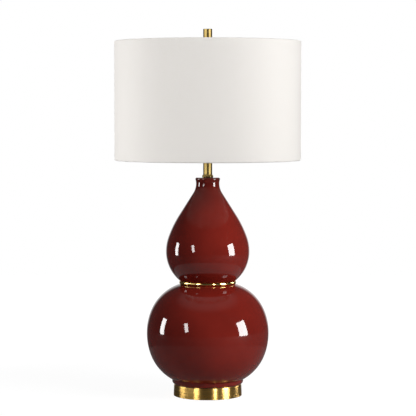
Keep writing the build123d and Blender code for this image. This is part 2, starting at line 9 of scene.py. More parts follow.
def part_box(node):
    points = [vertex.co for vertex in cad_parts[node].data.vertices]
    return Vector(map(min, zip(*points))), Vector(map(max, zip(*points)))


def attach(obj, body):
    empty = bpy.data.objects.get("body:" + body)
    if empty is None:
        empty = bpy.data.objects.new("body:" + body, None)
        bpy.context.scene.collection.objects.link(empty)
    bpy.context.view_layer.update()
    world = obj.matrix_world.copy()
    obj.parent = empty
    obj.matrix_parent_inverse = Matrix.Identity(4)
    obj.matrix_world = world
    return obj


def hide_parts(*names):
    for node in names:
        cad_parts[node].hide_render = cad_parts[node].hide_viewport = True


# Double gourd table lamp, dressed over its CAD frame. Metres, +Z up, the lamp's front faces -Y.
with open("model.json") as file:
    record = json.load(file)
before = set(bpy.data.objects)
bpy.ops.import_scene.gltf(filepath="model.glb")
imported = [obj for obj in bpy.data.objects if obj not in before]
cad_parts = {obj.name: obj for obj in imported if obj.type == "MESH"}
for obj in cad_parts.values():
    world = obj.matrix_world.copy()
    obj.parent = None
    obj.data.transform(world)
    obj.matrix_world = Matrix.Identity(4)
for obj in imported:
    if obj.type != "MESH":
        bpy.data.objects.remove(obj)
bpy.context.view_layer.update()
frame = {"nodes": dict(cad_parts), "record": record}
scene = bpy.context.scene
scene.view_settings.view_transform = "Standard"
print("frame loaded:", len(frame["nodes"]), "nodes")


# Camera: a long lens at the height of the shade's lower half, looking slightly down
camera = {"place": (0.0007, -4.051, 0.6655), "tiltDown": 3.246, "lens": 151.68}


def placeCamera():
    eye = bpy.data.objects.new("camera", bpy.data.cameras.new("camera"))
    eye.data.lens = camera["lens"]
    eye.data.clip_end = 50
    eye.location = camera["place"]
    eye.rotation_euler = (math.radians(90 - camera["tiltDown"]), 0, 0)
    scene.collection.objects.link(eye)
    scene.camera = eye


placeCamera()


floatSocket, vectorSocket = "NodeSocketFloat", "NodeSocketVector"
geometrySocket, materialSocket = "NodeSocketGeometry", "NodeSocketMaterial"


def addNode(tree, kind, values=None, **settings):
    made = tree.nodes.new(kind)
    for name, value in settings.items():
        setattr(made, name, value)
    for key, value in (values or {}).items():
        if isinstance(value, bpy.types.NodeSocket):
            tree.links.new(value, made.inputs[key])
        else:
            made.inputs[key].default_value = value
    return made


def maths(tree, operation, *values, clamp=False):
    made = addNode(tree, "ShaderNodeMath", dict(enumerate(values)), operation=operation, use_clamp=clamp)
    return made.outputs[0]


def vectorMaths(tree, operation, first, second):
    return addNode(tree, "ShaderNodeVectorMath", {0: first, 1: second}, operation=operation).outputs[0]


def ramp(tree, value, low, high, toLow=0.0, toHigh=1.0):
    return addNode(tree, "ShaderNodeMapRange", {0: value, 1: low, 2: high, 3: toLow, 4: toHigh},
                   interpolation_type="SMOOTHSTEP").outputs[0]


def blend(tree, share, first, second):
    colors = [value if isinstance(value, bpy.types.NodeSocket) else (*value, 1) for value in (first, second)]
    return addNode(tree, "ShaderNodeMix", {0: share, 6: colors[0], 7: colors[1]}, data_type="RGBA").outputs[2]


def noise(tree, vector, scale, detail=3.0, roughness=0.5):
    return addNode(tree, "ShaderNodeTexNoise",
                   {"Vector": vector, "Scale": scale, "Detail": detail, "Roughness": roughness}).outputs[0]


def stretched(tree, vector, scale):
    return addNode(tree, "ShaderNodeMapping", {"Vector": vector, "Scale": scale}).outputs[0]


def parts(tree, vector):
    return addNode(tree, "ShaderNodeSeparateXYZ", {0: vector}).outputs


def combined(tree, x=0.0, y=0.0, z=0.0):
    return addNode(tree, "ShaderNodeCombineXYZ", {0: x, 1: y, 2: z}).outputs[0]


def distanceFromAxis(tree, x, y):
    squares = maths(tree, "ADD", maths(tree, "MULTIPLY", x, x), maths(tree, "MULTIPLY", y, y))
    return maths(tree, "SQRT", squares)


def startGroup(name, kind, inputs, outputs):
    tree = bpy.data.node_groups.new(name, kind)
    for label, socket, value in inputs:
        made = tree.interface.new_socket(label, in_out="INPUT", socket_type=socket)
        if value is not None:
            made.default_value = value
    for label, socket in outputs:
        tree.interface.new_socket(label, in_out="OUTPUT", socket_type=socket)
    return tree, tree.nodes.new("NodeGroupInput").outputs, tree.nodes.new("NodeGroupOutput").inputs


def useGroup(tree, group, values):
    return addNode(tree, "ShaderNodeGroup", values, node_tree=group).outputs


def makeEdgeWear():
    # rubbed edges, from how sharply the turned outline bends, broken up by a patchy noise
    tree, given, out = startGroup("edgeWear", "ShaderNodeTree", [
        ("Vector", vectorSocket, None), ("Patch Scale", floatSocket, 60.0), ("Amount", floatSocket, 1.0)],
        [("Mask", floatSocket)])
    edge = addNode(tree, "ShaderNodeAttribute", attribute_name="edge").outputs["Fac"]
    patches = noise(tree, given["Vector"], given["Patch Scale"], 4.0)
    rubbed = maths(tree, "MULTIPLY", edge, ramp(tree, patches, 0.3, 0.6))
    tree.links.new(maths(tree, "MULTIPLY", rubbed, given["Amount"], clamp=True), out["Mask"])
    return tree


def makeSpunLines():
    # fine rings round the axis that a lathe or a polishing wheel leaves, and cloudy handling marks
    tree, given, out = startGroup("spunLines", "ShaderNodeTree", [
        ("Vector", vectorSocket, None), ("Lines", floatSocket, 900.0), ("Waver", floatSocket, 6.0)],
        [("Height", floatSocket), ("Clouds", floatSocket)])
    squeeze = combined(tree, given["Waver"], given["Waver"], given["Lines"])
    rings = vectorMaths(tree, "MULTIPLY", given["Vector"], squeeze)
    tree.links.new(noise(tree, rings, 1.0, 4.0, 0.65), out["Height"])
    tree.links.new(ramp(tree, noise(tree, given["Vector"], 22.0), 0.3, 0.7), out["Clouds"])
    return tree


def makeDust():
    # thin dust on what faces up
    tree, given, out = startGroup("dust", "ShaderNodeTree", [
        ("Vector", vectorSocket, None), ("Amount", floatSocket, 0.3)], [("Mask", floatSocket)])
    up = parts(tree, addNode(tree, "ShaderNodeNewGeometry").outputs["Normal"])[2]
    specks = ramp(tree, noise(tree, given["Vector"], 420.0, 2.0, 0.7), 0.45, 0.75)
    settled = maths(tree, "MULTIPLY", ramp(tree, up, 0.55, 1.0), maths(tree, "ADD", specks, 0.4))
    tree.links.new(maths(tree, "MULTIPLY", settled, given["Amount"], clamp=True), out["Mask"])
    return tree


def makePlainWeave():
    # plain weave from a UV map in metres, with threads that wander and swell
    tree, given, out = startGroup("plainWeave", "ShaderNodeTree", [
        ("UV", vectorSocket, None), ("Threads", floatSocket, 1300.0), ("Slubs", floatSocket, 0.5)],
        [("Height", floatSocket), ("Thread", floatSocket), ("Slub", floatSocket)])
    wander = addNode(tree, "ShaderNodeTexNoise", {"Vector": given["UV"], "Scale": 60.0, "Detail": 1.0})
    wander = vectorMaths(tree, "MULTIPLY", wander.outputs[1], (0.0009, 0.0009, 0))
    bent = vectorMaths(tree, "ADD", given["UV"], wander)
    counts, rounds = [], []
    for place in parts(tree, bent)[:2]:
        counts.append(maths(tree, "MULTIPLY", place, given["Threads"]))
        wave = maths(tree, "SINE", maths(tree, "MULTIPLY", counts[-1], math.pi))
        rounds.append(maths(tree, "ABSOLUTE", wave))
    crossing = maths(tree, "ADD", maths(tree, "FLOOR", counts[0]), maths(tree, "FLOOR", counts[1]))
    parity = maths(tree, "FLOORED_MODULO", crossing, 2.0)
    over = addNode(tree, "ShaderNodeMix", {0: parity, 2: rounds[0], 3: rounds[1]}).outputs[0]
    thread = maths(tree, "ADD", maths(tree, "MULTIPLY", over, 0.75),
                   maths(tree, "MULTIPLY", maths(tree, "MINIMUM", rounds[0], rounds[1]), 0.25))
    upright = noise(tree, stretched(tree, bent, (700, 22, 1)), 1.0, 3.0, 0.6)
    level = noise(tree, stretched(tree, bent, (30, 700, 1)), 1.0, 3.0, 0.6)
    slub = maths(tree, "ADD", maths(tree, "MULTIPLY", upright, 0.4), maths(tree, "MULTIPLY", level, 0.6))
    tree.links.new(maths(tree, "ADD", thread, maths(tree, "MULTIPLY", slub, given["Slubs"])), out["Height"])
    tree.links.new(thread, out["Thread"])
    tree.links.new(ramp(tree, slub, 0.3, 0.7), out["Slub"])
    return tree


edgeWear, spunLines, dust, plainWeave = makeEdgeWear(), makeSpunLines(), makeDust(), makePlainWeave()


def startMaterial(name, **constant):
    made = bpy.data.materials.new(name)
    made.use_nodes = True
    shader = made.node_tree.nodes["Principled BSDF"]
    for label, value in constant.items():
        shader.inputs[label.replace("_", " ")].default_value = value
    place = addNode(made.node_tree, "ShaderNodeTexCoord").outputs["Object"]
    return made, made.node_tree, shader, place


def connect(tree, shader, color=None, roughness=None, height=None, bump=0.1, distance=0.001):
    if color is not None:
        tree.links.new(color, shader.inputs["Base Color"])
    if roughness is not None:
        tree.links.new(roughness, shader.inputs["Roughness"])
    if height is not None:
        raised = addNode(tree, "ShaderNodeBump", {"Height": height, "Strength": bump, "Distance": distance})
        tree.links.new(raised.outputs[0], shader.inputs["Normal"])


def shaded(color, amount):
    return [min(1.0, part * amount) for part in color]


glaze = {"deep": (0.170, 0.0122, 0.0075), "bright": (0.215, 0.0160, 0.0098), "thin": (0.170, 0.034, 0.019),
         "clay": (0.42, 0.30, 0.20), "poolScale": 9.0, "sheen": (0.035, 0.07), "waviness": 0.022}


def glazeMaterial():
    # the glaze pools in soft clouds, thins to brown on edges, and leaves the inside as bare clay
    made, tree, shader, place = startMaterial("oxbloodGlaze", IOR=1.5)
    clouds = noise(tree, place, glaze["poolScale"], 3.0, 0.55)
    color = blend(tree, ramp(tree, clouds, 0.3, 0.7), glaze["deep"], glaze["bright"])
    thin = useGroup(tree, edgeWear, {"Vector": place, "Patch Scale": 35.0, "Amount": 0.5})["Mask"]
    color = blend(tree, thin, color, glaze["thin"])
    bare = addNode(tree, "ShaderNodeAttribute", attribute_name="bare").outputs["Fac"]
    grain = noise(tree, place, 900.0)
    color = blend(tree, bare, color, blend(tree, grain, glaze["clay"], shaded(glaze["clay"], 1.25)))
    sheen = ramp(tree, noise(tree, place, 40.0, 4.0), 0.3, 0.8, *glaze["sheen"])
    rough = maths(tree, "ADD", sheen, maths(tree, "MULTIPLY", bare, 0.7))
    waves = maths(tree, "MULTIPLY", noise(tree, place, 28.0, 1.0), maths(tree, "SUBTRACT", 1.0, bare))
    height = maths(tree, "ADD", waves, maths(tree, "MULTIPLY", maths(tree, "MULTIPLY", grain, bare), 0.3))
    connect(tree, shader, color, rough, height, glaze["waviness"])
    return made


# each brass: colour, share of it left in dull clouds, roughness, lines in a metre, depth of the lines,
# and how far the lines draw out the gloss
brasses = {
    "polishedBrass": ((0.76, 0.55, 0.19), 0.87, 0.10, 1400.0, 0.03, 0.0),
    "satinBrass": ((0.76, 0.55, 0.19), 0.87, 0.22, 1400.0, 0.03, 0.6),
    "spunBrass": ((0.80, 0.50, 0.14), 0.85, 0.29, 2600.0, 0.04, 1.0),
    "platedSteel": ((0.74, 0.55, 0.24), 0.82, 0.22, 1200.0, 0.05, 0.0),
}
brassWear = {"patches": 90.0, "rubbed": 0.35, "brighter": 1.15, "dusty": 0.12,
             "dustColor": (0.45, 0.42, 0.38)}


def brassMaterial(name):
    # lacquered brass with spun lines, cloudy handling marks, rubbed edges and a little dust
    # spun grooves run round the axis, so the gloss is drawn out across them, up and down
    color, dull, roughness, lines, bump, anisotropic = brasses[name]
    made, tree, shader, place = startMaterial(name, Metallic=1.0, Anisotropic=anisotropic,
                                              Anisotropic_Rotation=0.25)
    spun = useGroup(tree, spunLines, {"Vector": place, "Lines": lines, "Waver": 5.0})
    tone = blend(tree, spun["Clouds"], color, shaded(color, dull))
    rubbed = useGroup(tree, edgeWear, {"Vector": place, "Patch Scale": brassWear["patches"],
                                       "Amount": brassWear["rubbed"]})["Mask"]
    tone = blend(tree, rubbed, tone, shaded(color, brassWear["brighter"]))
    settled = useGroup(tree, dust, {"Vector": place, "Amount": brassWear["dusty"]})["Mask"]
    tone = blend(tree, settled, tone, brassWear["dustColor"])
    rough = ramp(tree, spun["Height"], 0.3, 0.7, roughness * 0.8, roughness * 1.25)
    connect(tree, shader, tone, maths(tree, "ADD", rough, maths(tree, "MULTIPLY", settled, 0.5)),
            spun["Height"], bump, 0.0004)
    if anisotropic:
        around = addNode(tree, "ShaderNodeTangent", direction_type="RADIAL", axis="Z").outputs[0]
        tree.links.new(around, shader.inputs["Tangent"])
    return made


linen = {"thread": (0.815, 0.790, 0.765), "gap": (0.66, 0.635, 0.60), "fleck": (0.74, 0.70, 0.64),
         "seam": (0.52, 0.49, 0.44), "threads": 1300.0, "lap": 0.011, "seamAt": 0.25}


def linenMaterial(girth):
    # the free end of the cloth is glued down over its start, in one upright seam at the back
    made, tree, shader, place = startMaterial("linen", Roughness=0.85, Sheen_Weight=0.15, Sheen_Roughness=0.5,
                                              Specular_IOR_Level=0.2)
    uv = addNode(tree, "ShaderNodeUVMap", uv_map="UVMap").outputs[0]
    weave = useGroup(tree, plainWeave, {"UV": uv, "Threads": linen["threads"], "Slubs": 0.5})
    color = blend(tree, ramp(tree, weave["Thread"], 0.1, 0.6), linen["gap"], linen["thread"])
    color = blend(tree, maths(tree, "MULTIPLY", weave["Slub"], 0.35), color, linen["fleck"])
    across = parts(tree, uv)[0]
    start, end = linen["seamAt"] * girth, linen["seamAt"] * girth + linen["lap"]
    lap = maths(tree, "MULTIPLY", maths(tree, "GREATER_THAN", across, start),
                maths(tree, "LESS_THAN", across, end))
    edge = ramp(tree, maths(tree, "ABSOLUTE", maths(tree, "SUBTRACT", across, end)), 0.0, 0.0007, 1.0, 0.0)
    color = blend(tree, maths(tree, "MULTIPLY", edge, 0.45), color, linen["seam"])
    height = maths(tree, "ADD", weave["Height"], maths(tree, "MULTIPLY", lap, 1.6))
    connect(tree, shader, color, None, height, 0.35, 0.00022)
    return made


wool = {"dark": (0.030, 0.075, 0.044), "light": (0.075, 0.160, 0.098), "tuft": (0.045, 0.10, 0.06)}


def feltMaterial():
    made, tree, shader, place = startMaterial("woolFelt", Roughness=0.95, Sheen_Weight=0.4,
                                              Sheen_Roughness=0.6, Specular_IOR_Level=0.15)
    fibres, tufts = noise(tree, place, 1500.0, 5.0, 0.75), noise(tree, place, 160.0)
    color = blend(tree, ramp(tree, fibres, 0.3, 0.7), wool["dark"], wool["light"])
    color = blend(tree, maths(tree, "MULTIPLY", tufts, 0.4), color, wool["tuft"])
    connect(tree, shader, color, None, maths(tree, "ADD", fibres, tufts), 0.6, 0.0006)
    return made


iron = {"black": (0.035, 0.035, 0.037), "worn": (0.09, 0.085, 0.08)}


def ironMaterial():
    made, tree, shader, place = startMaterial("castIron", Metallic=0.7)
    grain = noise(tree, place, 700.0, 5.0, 0.7)
    color = blend(tree, noise(tree, place, 60.0, 4.0), iron["black"], iron["worn"])
    connect(tree, shader, color, ramp(tree, grain, 0.3, 0.7, 0.55, 0.8), grain, 0.6, 0.0006)
    return made


def plainMaterial(name, color, roughness, grainScale=1200.0, bump=0.08, **constant):
    # moulded plastic, rubber, card or paint: fine grain, faint patches of gloss and paler edges
    made, tree, shader, place = startMaterial(name, **constant)
    patches = noise(tree, place, 35.0)
    tone = blend(tree, patches, shaded(color, 0.85), shaded(color, 1.12))
    rubbed = useGroup(tree, edgeWear, {"Vector": place, "Patch Scale": 120.0, "Amount": 0.25})["Mask"]
    tone = blend(tree, rubbed, tone, shaded(color, 1.6))
    connect(tree, shader, tone, ramp(tree, patches, 0.3, 0.7, roughness * 0.85, roughness * 1.15),
            noise(tree, place, grainScale), bump, 0.0003)
    return made


def sheetMetalMaterial(name, color, roughness):
    made, tree, shader, place = startMaterial(name, Metallic=1.0)
    spun = useGroup(tree, spunLines, {"Vector": place, "Lines": 1500.0, "Waver": 30.0})
    spots = ramp(tree, noise(tree, place, 250.0, 4.0, 0.7), 0.55, 0.75)
    tone = blend(tree, maths(tree, "MULTIPLY", spots, 0.35), color, shaded(color, 0.6))
    connect(tree, shader, tone, ramp(tree, spun["Height"], 0.3, 0.7, roughness * 0.8, roughness * 1.3),
            spun["Height"], 0.1, 0.0003)
    return made


bulbCoat = {"thin": (0.88, 0.88, 0.86), "thick": (0.94, 0.94, 0.93)}


def bulbMaterial():
    # glass with a soft white coat on its inside
    made, tree, shader, place = startMaterial("frostedBulb", Transmission_Weight=0.12, IOR=1.5,
                                              Coat_Weight=0.6)
    color = blend(tree, noise(tree, place, 300.0, 4.0), bulbCoat["thin"], bulbCoat["thick"])
    connect(tree, shader, color, ramp(tree, noise(tree, place, 25.0, 2.0), 0.3, 0.7, 0.30, 0.42))
    return made


shadeGirth = 2 * math.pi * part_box("shade_cover")[1].x
finishes = {
    "felt": feltMaterial(),
    "brass": brassMaterial("polishedBrass"),
    "satin_brass": brassMaterial("satinBrass"),
    "spun_brass": brassMaterial("spunBrass"),
    "cast_iron": ironMaterial(),
    "black_nylon": plainMaterial("blackNylon", (0.022, 0.022, 0.023), 0.45),
    "zinc_steel": sheetMetalMaterial("zincSteel", (0.60, 0.60, 0.58), 0.32),
    "black_rubber": plainMaterial("blackRubber", (0.018, 0.017, 0.017), 0.75, 900.0, 0.2),
    "oxblood_glaze": glazeMaterial(),
    "brass_plate": brassMaterial("platedSteel"),
    "card": plainMaterial("pressedCard", (0.44, 0.35, 0.24), 0.85, 500.0, 0.4),
    "phenolic": plainMaterial("phenolic", (0.028, 0.024, 0.021), 0.22, 800.0, 0.03, Coat_Weight=0.2),
    "aluminium": sheetMetalMaterial("aluminium", (0.80, 0.80, 0.80), 0.28),
    "bulb_glass": bulbMaterial(),
    "black_glass": plainMaterial("blackGlass", (0.012, 0.012, 0.014), 0.08, 300.0, 0.01),
    "linen": linenMaterial(shadeGirth),
    "styrene": plainMaterial("styrene", (0.86, 0.85, 0.82), 0.40, 200.0, 0.03),
    "white_wire": plainMaterial("whiteCoat", (0.82, 0.82, 0.80), 0.40, 500.0, 0.08),
}
print("materials made:", len(finishes))


def geometryEnd(tree, out, geometry, finish):
    geometry = addNode(tree, "GeometryNodeRealizeInstances", {0: geometry}).outputs[0]
    geometry = addNode(tree, "GeometryNodeSetMaterial", {0: geometry, "Material": finish}).outputs[0]
    tree.links.new(geometry, out["Piece"])
    return tree


def makeLatheTree():
    # turns an outline in the XZ plane into a surface round Z, with a UV map in metres
    tree, given, out = startGroup("turnedOutline", "GeometryNodeTree", [
        ("Outline", geometrySocket, None), ("Sides", "NodeSocketInt", 96), ("Girth", floatSocket, 1.0),
        ("Finish", materialSocket, None)], [("Piece", geometrySocket)])
    outline = given["Outline"]
    count = addNode(tree, "GeometryNodeAttributeDomainSize", {0: outline}, component="MESH").outputs[0]
    columns = maths(tree, "ADD", given["Sides"], 1.0)
    grid = addNode(tree, "GeometryNodeMeshGrid", {0: 1.0, 1: 1.0, 2: columns, 3: count}).outputs[0]
    index = addNode(tree, "GeometryNodeInputIndex").outputs[0]
    column = maths(tree, "FLOOR", maths(tree, "DIVIDE", maths(tree, "ADD", index, 0.5), count))
    row = maths(tree, "SUBTRACT", index, maths(tree, "MULTIPLY", column, count))

    def picked(kind, value):
        sample = addNode(tree, "GeometryNodeSampleIndex", {0: outline, 1: value, 2: row}, data_type=kind)
        return sample.outputs[0]

    def named(label):
        return addNode(tree, "GeometryNodeInputNamedAttribute", {0: label}, data_type="FLOAT").outputs[0]

    def stored(geometry, kind, domain, label, value):
        return addNode(tree, "GeometryNodeStoreNamedAttribute", {0: geometry, "Name": label, "Value": value},
                       data_type=kind, domain=domain).outputs[0]

    drawn = parts(tree, picked("FLOAT_VECTOR", addNode(tree, "GeometryNodeInputPosition").outputs[0]))
    share = maths(tree, "DIVIDE", column, given["Sides"])
    angle = maths(tree, "MULTIPLY", share, 2 * math.pi)
    place = combined(tree, maths(tree, "MULTIPLY", drawn[0], maths(tree, "COSINE", angle)),
                     maths(tree, "MULTIPLY", drawn[0], maths(tree, "SINE", angle)), drawn[2])
    made = stored(grid, "FLOAT", "POINT", "around", maths(tree, "MULTIPLY", share, given["Girth"]))
    for label in ("run", "edge", "bare"):
        made = stored(made, "FLOAT", "POINT", label, picked("FLOAT", named(label)))
    made = addNode(tree, "GeometryNodeSetPosition", {0: made, "Position": place}).outputs[0]
    made = stored(made, "FLOAT2", "CORNER", "UVMap", combined(tree, named("around"), named("run")))
    made = addNode(tree, "GeometryNodeMergeByDistance", {0: made, "Distance": 0.000004}).outputs[0]
    made = addNode(tree, "GeometryNodeSetShadeSmooth", {0: made}).outputs[0]
    return geometryEnd(tree, out, made, given["Finish"])


def makeThreadTree():
    # presses a helical thread into the outside of a piece round Z, between two heights
    tree, given, out = startGroup("pressedThread", "GeometryNodeTree", [
        ("Blank", geometrySocket, None), ("Pitch", floatSocket, 0.0036), ("Depth", floatSocket, 0.0009),
        ("Low", floatSocket, 0.0), ("High", floatSocket, 0.1), ("Fade", floatSocket, 0.001),
        ("Finish", materialSocket, None)], [("Piece", geometrySocket)])
    x, y, z = parts(tree, addNode(tree, "GeometryNodeInputPosition").outputs[0])
    climb = maths(tree, "MULTIPLY", maths(tree, "DIVIDE", z, given["Pitch"]), 2 * math.pi)
    wave = maths(tree, "COSINE", maths(tree, "SUBTRACT", climb, maths(tree, "ARCTAN2", y, x)))
    wave = maths(tree, "MULTIPLY", maths(tree, "ADD", wave, 1.0), 0.5)
    begins = ramp(tree, z, given["Low"], maths(tree, "ADD", given["Low"], given["Fade"]))
    ends = ramp(tree, z, maths(tree, "SUBTRACT", given["High"], given["Fade"]), given["High"], 1.0, 0.0)
    depth = maths(tree, "MULTIPLY", maths(tree, "MULTIPLY", begins, ends),
                  maths(tree, "MULTIPLY", wave, given["Depth"]))
    inward = maths(tree, "MULTIPLY", maths(tree, "DIVIDE", depth, distanceFromAxis(tree, x, y)), -1.0)
    move = combined(tree, maths(tree, "MULTIPLY", x, inward), maths(tree, "MULTIPLY", y, inward))
    made = addNode(tree, "GeometryNodeSetPosition", {0: given["Blank"], "Offset": move}).outputs[0]
    return geometryEnd(tree, out, made, given["Finish"])


def makeSpokeTree():
    # a round wire bent along a path, repeated round Z
    tree, given, out = startGroup("spokes", "GeometryNodeTree", [
        ("Path", geometrySocket, None), ("Count", "NodeSocketInt", 3), ("Wire", floatSocket, 0.0015),
        ("Bend", floatSocket, 0.008), ("First", floatSocket, 0.0), ("Finish", materialSocket, None)],
        [("Piece", geometrySocket)])
    path = addNode(tree, "GeometryNodeMeshToCurve", {0: given["Path"]}).outputs[0]
    path = addNode(tree, "GeometryNodeFilletCurve", {"Curve": path, "Radius": given["Bend"], "Count": 10},
                   mode="POLY").outputs[0]
    profile = addNode(tree, "GeometryNodeCurvePrimitiveCircle",
                      {"Resolution": 20, "Radius": given["Wire"]}).outputs[0]
    bent = addNode(tree, "GeometryNodeCurveToMesh",
                   {"Curve": path, "Profile Curve": profile, "Fill Caps": True})
    dots = addNode(tree, "GeometryNodePoints", {"Count": given["Count"]}).outputs[0]
    index = addNode(tree, "GeometryNodeInputIndex").outputs[0]
    step = maths(tree, "DIVIDE", 2 * math.pi, given["Count"])
    angle = maths(tree, "ADD", maths(tree, "MULTIPLY", index, step), given["First"])
    made = addNode(tree, "GeometryNodeInstanceOnPoints", {
        "Points": dots, "Instance": bent.outputs[0], "Rotation": combined(tree, z=angle)}).outputs[0]
    made = addNode(tree, "GeometryNodeRealizeInstances", {0: made}).outputs[0]
    made = addNode(tree, "GeometryNodeSetShadeSmooth", {0: made}).outputs[0]
    return geometryEnd(tree, out, made, given["Finish"])


latheTree, threadTree, spokeTree = makeLatheTree(), makeThreadTree(), makeSpokeTree()


# outlines are drawn as (radius, height), with the outer side going up
def arc(centre, radius, start, stop, steps):
    angles = [math.radians(start + (stop - start) * i / steps) for i in range(steps + 1)]
    return [(centre[0] + radius * math.cos(a), centre[1] + radius * math.sin(a)) for a in angles]


def smoothLine(start, heading, moves):
    # a line without corners: each move is (radius, turn, steps), or (length,) for a straight run
    place, heading, points = Vector(start), math.radians(heading), [tuple(start)]
    for move in moves:
        if len(move) == 1:
            place = place + Vector((math.cos(heading), math.sin(heading))) * move[0]
            points.append(tuple(place))
            continue
        radius, turn, steps = move
        toCentre = Vector((-math.sin(heading), math.cos(heading))) * math.copysign(radius, turn)
        centre = place + toCentre
        for k in range(1, steps + 1):
            points.append(tuple(centre - Matrix.Rotation(math.radians(turn) * k / steps, 2) @ toCentre))
        place, heading = Vector(points[-1]), heading + math.radians(turn)
    return points


def rounded(corners, radii, steps=6):
    points = []
    for i, corner in enumerate(corners):
        if radii[i] == 0:
            points.append(tuple(corner))
            continue
        here = Vector(corner)
        before = (Vector(corners[i - 1]) - here).normalized()
        after = (Vector(corners[(i + 1) % len(corners)]) - here).normalized()
        half = before.angle(after) / 2
        centre = here + (before + after).normalized() * (radii[i] / math.sin(half))
        first = here + before * (radii[i] / math.tan(half)) - centre
        last = here + after * (radii[i] / math.tan(half)) - centre
        turn = math.atan2(first.x * last.y - first.y * last.x, first.dot(last))
        points += [tuple(centre + Matrix.Rotation(turn * k / steps, 2) @ first) for k in range(steps + 1)]
    return points


def refined(points, step, closed=True):
    # adds points so that no run is longer than the step
    made = []
    for first, last in zip(points, points[1:] + points[:1] if closed else points[1:]):
        count = max(1, math.ceil(math.dist(first, last) / step))
        made += [tuple(Vector(first).lerp(Vector(last), k / count)) for k in range(count)]
    return made if closed else made + [points[-1]]


def outlineMesh(name, points, bare):
    # a line of edges that carries its length so far, how sharply it bends, and where no glaze is;
    # an outline that starts on the axis ends there too, and any other one is closed
    closed = points[0][0] > 0
    loop = points + points[:1] if closed else points
    bare = (bare + bare[:1] if closed else bare) if bare else [0.0] * len(loop)
    lengths = [math.dist(first, last) for first, last in zip(loop, loop[1:])]
    run = [sum(lengths[:i]) for i in range(len(loop))]
    edge = [0.0] * len(loop)
    for i in range(0 if closed else 1, len(loop) - 1):
        before = Vector(loop[i]) - Vector(loop[i - 1 if i else -2])
        after = Vector(loop[i + 1]) - Vector(loop[i])
        bend = math.atan2(before.x * after.y - before.y * after.x, before.dot(after))
        edge[i] = min(1.0, max(0.0, 0.0015 * bend / (0.5 * (before.length + after.length))))
    edge[-1] = edge[0]
    mesh = bpy.data.meshes.new(name)
    mesh.from_pydata([(r, 0, z) for r, z in loop], [(i, i + 1) for i in range(len(loop) - 1)], [])
    for label, values in (("run", run), ("edge", edge), ("bare", bare)):
        mesh.attributes.new(label, "FLOAT", "POINT").data.foreach_set("value", values)
    return mesh


def setInputs(live, tree, values):
    modifier = live.modifiers.new(tree.name, "NODES")
    modifier.node_group = tree
    for item in tree.interface.items_tree:
        if item.in_out == "INPUT" and item.name in values:
            modifier[item.identifier] = values[item.name]


def startPiece(name, mesh):
    live = bpy.data.objects.new(name, mesh)
    scene.collection.objects.link(live)
    return live


def finished(name, live, crease):
    # the evaluated shape as a plain mesh, in place of the object with live modifiers
    graph = bpy.context.evaluated_depsgraph_get()
    mesh = bpy.data.meshes.new_from_object(live.evaluated_get(graph), preserve_all_data_layers=True,
                                           depsgraph=graph)
    bpy.data.objects.remove(live)
    for label in ("around", "run"):
        if label in mesh.attributes:
            mesh.attributes.remove(mesh.attributes[label])
    mesh.set_sharp_from_angle(angle=math.radians(crease))
    return startPiece(name, mesh)


def cutter(place, along, radius, length):
    shape = bmesh.new()
    turn = Vector((0, 0, 1)).rotation_difference(Vector(along)).to_matrix().to_4x4()
    bmesh.ops.create_cone(shape, cap_ends=True, segments=40, radius1=radius, radius2=radius, depth=length,
                          matrix=Matrix.Translation(place) @ turn)
    mesh = bpy.data.meshes.new("cutter")
    shape.to_mesh(mesh)
    return startPiece("cutter", mesh)


def turned(name, points, sides, finish, bare=None, thread=None, cutters=(), crease=35.0):
    live = startPiece(name + "Outline", outlineMesh(name, points, bare))
    girth = 2 * math.pi * max(r for r, z in points)
    setInputs(live, latheTree, {"Sides": sides, "Girth": girth, "Finish": finish})
    if thread:
        setInputs(live, threadTree, {**thread, "Finish": finish})
    for tool in cutters:
        cut = live.modifiers.new("cut", "BOOLEAN")
        cut.operation, cut.solver, cut.object = "DIFFERENCE", "EXACT", tool
    piece = finished(name, live, crease)
    for tool in cutters:
        bpy.data.objects.remove(tool)
    return piece


def dress(piece, body, slotName, *replaced):
    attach(piece, body)
    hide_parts(*replaced)
    return piece


lowerBulb = {"footRadius": 0.0824, "footRounding": 0.0061, "recessRadius": 0.062, "recessDepth": 0.002,
             "floor": 0.007, "wall": 0.006, "bellyRise": 0.1203, "skirtArc": 0.1537, "skirtTurn": -18.6,
             "tuckArc": 0.109, "shoulderArc": 0.1286, "shoulderTurn": 25.3, "crownArc": 0.1069,
             "mouthRadius": 0.054, "rodHole": 0.0065, "step": 0.01, "sides": 288}


def secondCentre(belly, firstArc, turn, secondArc):
    along = Vector((math.cos(math.radians(turn)), math.sin(math.radians(turn))))
    return Vector((belly[0] - firstArc, belly[1])) + along * (firstArc - secondArc)


def angleAt(centre, radius, height):
    return math.degrees(math.asin((height - centre[1]) / radius))


